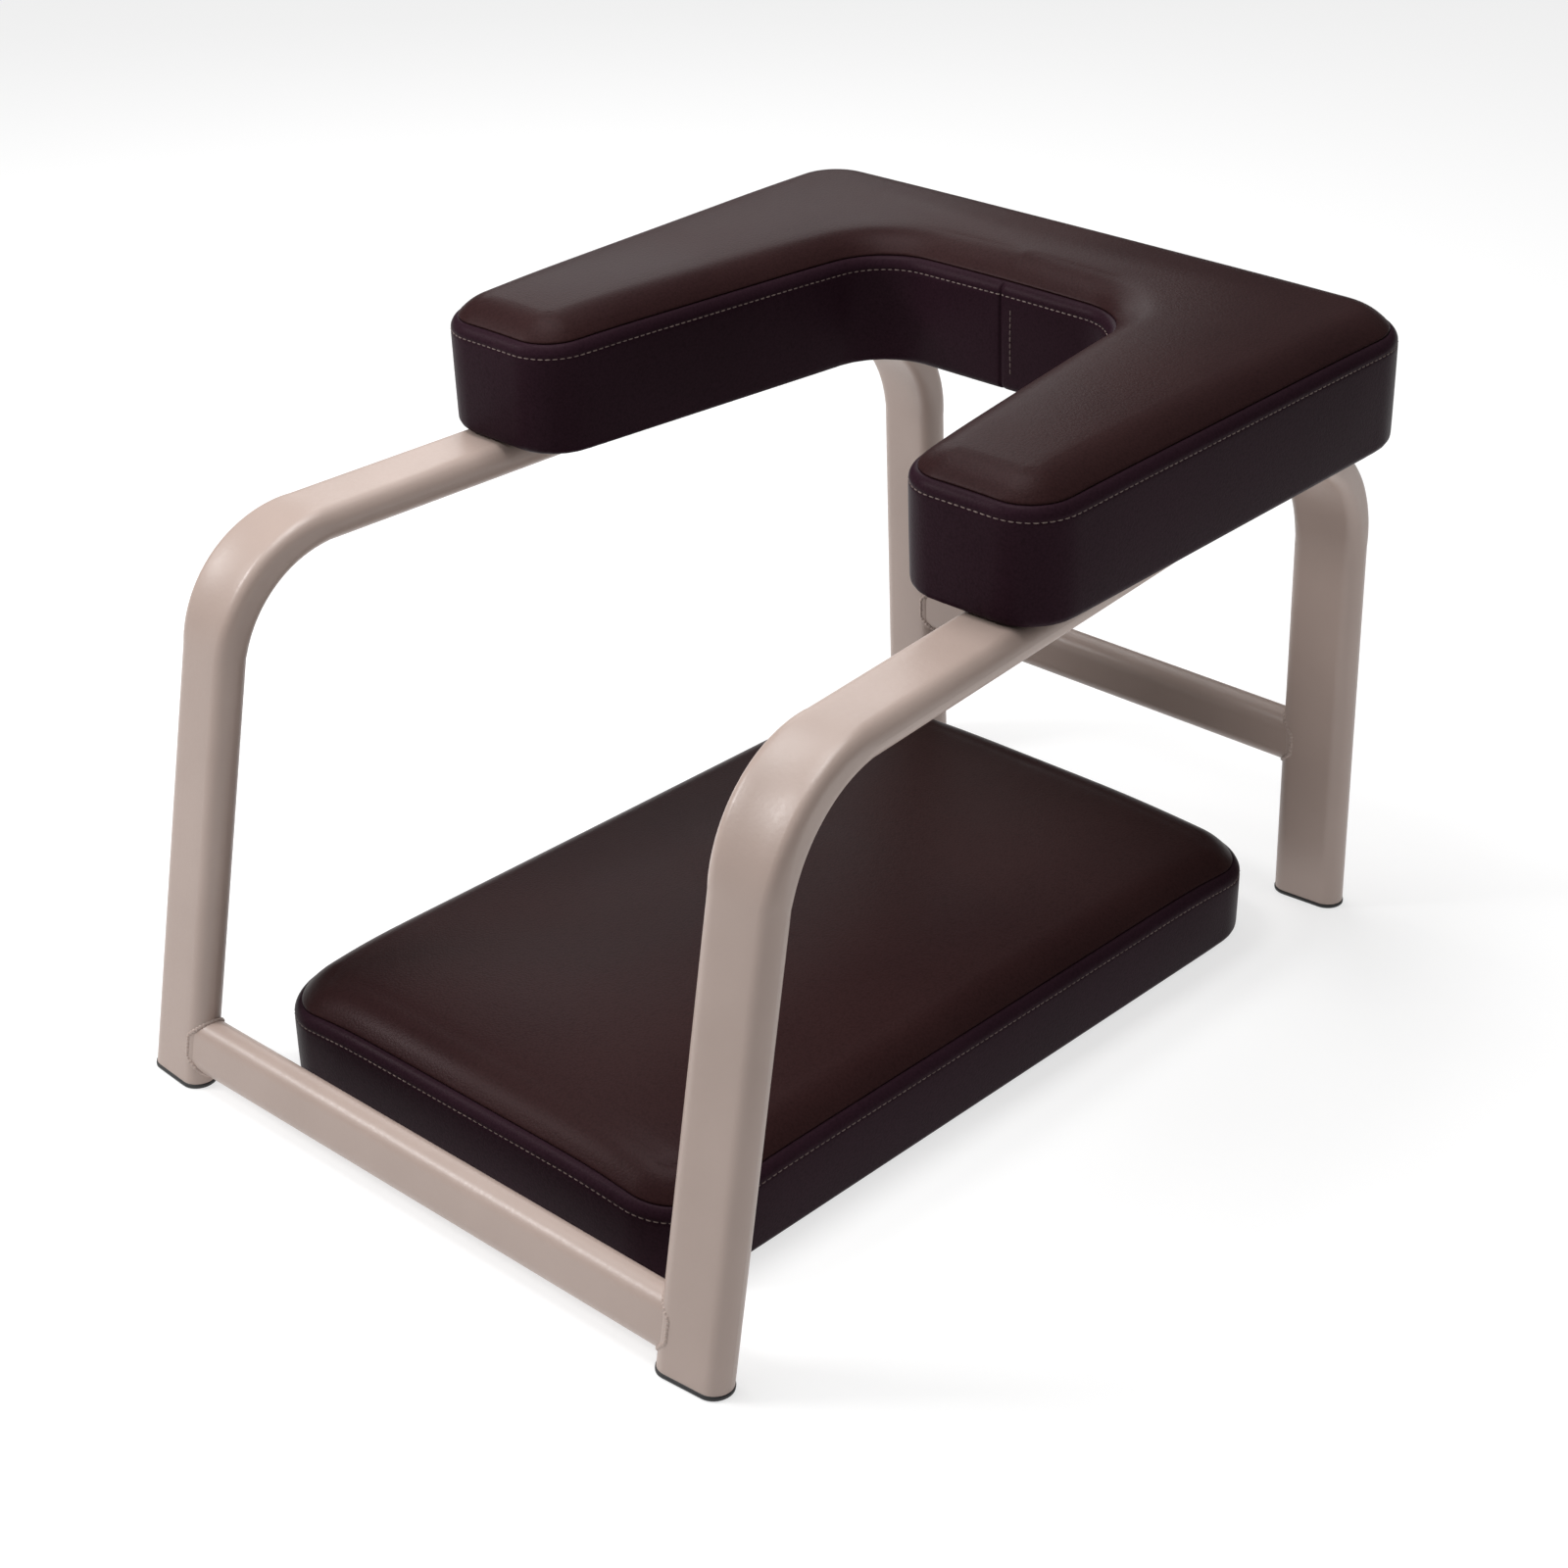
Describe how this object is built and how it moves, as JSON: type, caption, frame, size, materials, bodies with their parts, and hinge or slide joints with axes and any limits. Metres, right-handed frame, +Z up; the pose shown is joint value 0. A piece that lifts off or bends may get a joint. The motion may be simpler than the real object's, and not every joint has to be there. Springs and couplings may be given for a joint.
{
  "type": "padded kneeling and headstand bench",
  "caption": "Low bench on a bent flat-oval tube frame: a U-shaped padded shoulder cushion is bolted on the rails and a loose padded board for kneeling lies on the floor between the legs.",
  "frame": {"origin": "on the floor, at the middle of the bench", "axes": "+Y towards the closed back of the U cushion, +X to the right as seen from the open front, +Z up"},
  "size_m": [0.4548, 0.6184, 0.4116],
  "materials": {
    "frame_coat": "satin beige powder coat on flat-oval steel tube",
    "foot_plastic": "black moulded plastic",
    "plywood": "raw birch plywood",
    "foam": "open-cell foam, matt",
    "cover_leather": "dark brown leather cloth, low sheen",
    "under_cloth": "black non-woven cloth",
    "zinc_steel": "bright zinc plate"
  },
  "bodies": {
    "frame": {"left_side_frame": "frame_coat", "right_side_frame": "frame_coat", "front_crossbar": "frame_coat", "rear_crossbar": "frame_coat", "front_crossbar_welds": "frame_coat", "rear_crossbar_welds": "frame_coat", "front_left_foot_plug": "foot_plastic", "front_right_foot_plug": "foot_plastic", "rear_left_foot_plug": "foot_plastic", "rear_right_foot_plug": "foot_plastic", "cushion_board": "plywood", "cushion_foam": "foam", "cushion_top_panel": "cover_leather", "cushion_boxing": "cover_leather", "cushion_under_cloth": "under_cloth", "cushion_staples": "zinc_steel", "cushion_tee_nuts": "zinc_steel", "cushion_bolts": "zinc_steel", "cushion_washers": "zinc_steel"},
    "kneeling_pad": {"kneeling_pad_board": "plywood", "kneeling_pad_foam": "foam", "kneeling_pad_top_panel": "cover_leather", "kneeling_pad_boxing": "cover_leather", "kneeling_pad_under_cloth": "under_cloth", "kneeling_pad_staples": "zinc_steel"}
  },
  "joints": [
    {"name": "kneeling_pad_slide", "type": "slide", "parent": "frame", "child": "kneeling_pad", "axis": [1, 0, 0], "range_m": [-0.45, 0.45]}
  ]
}
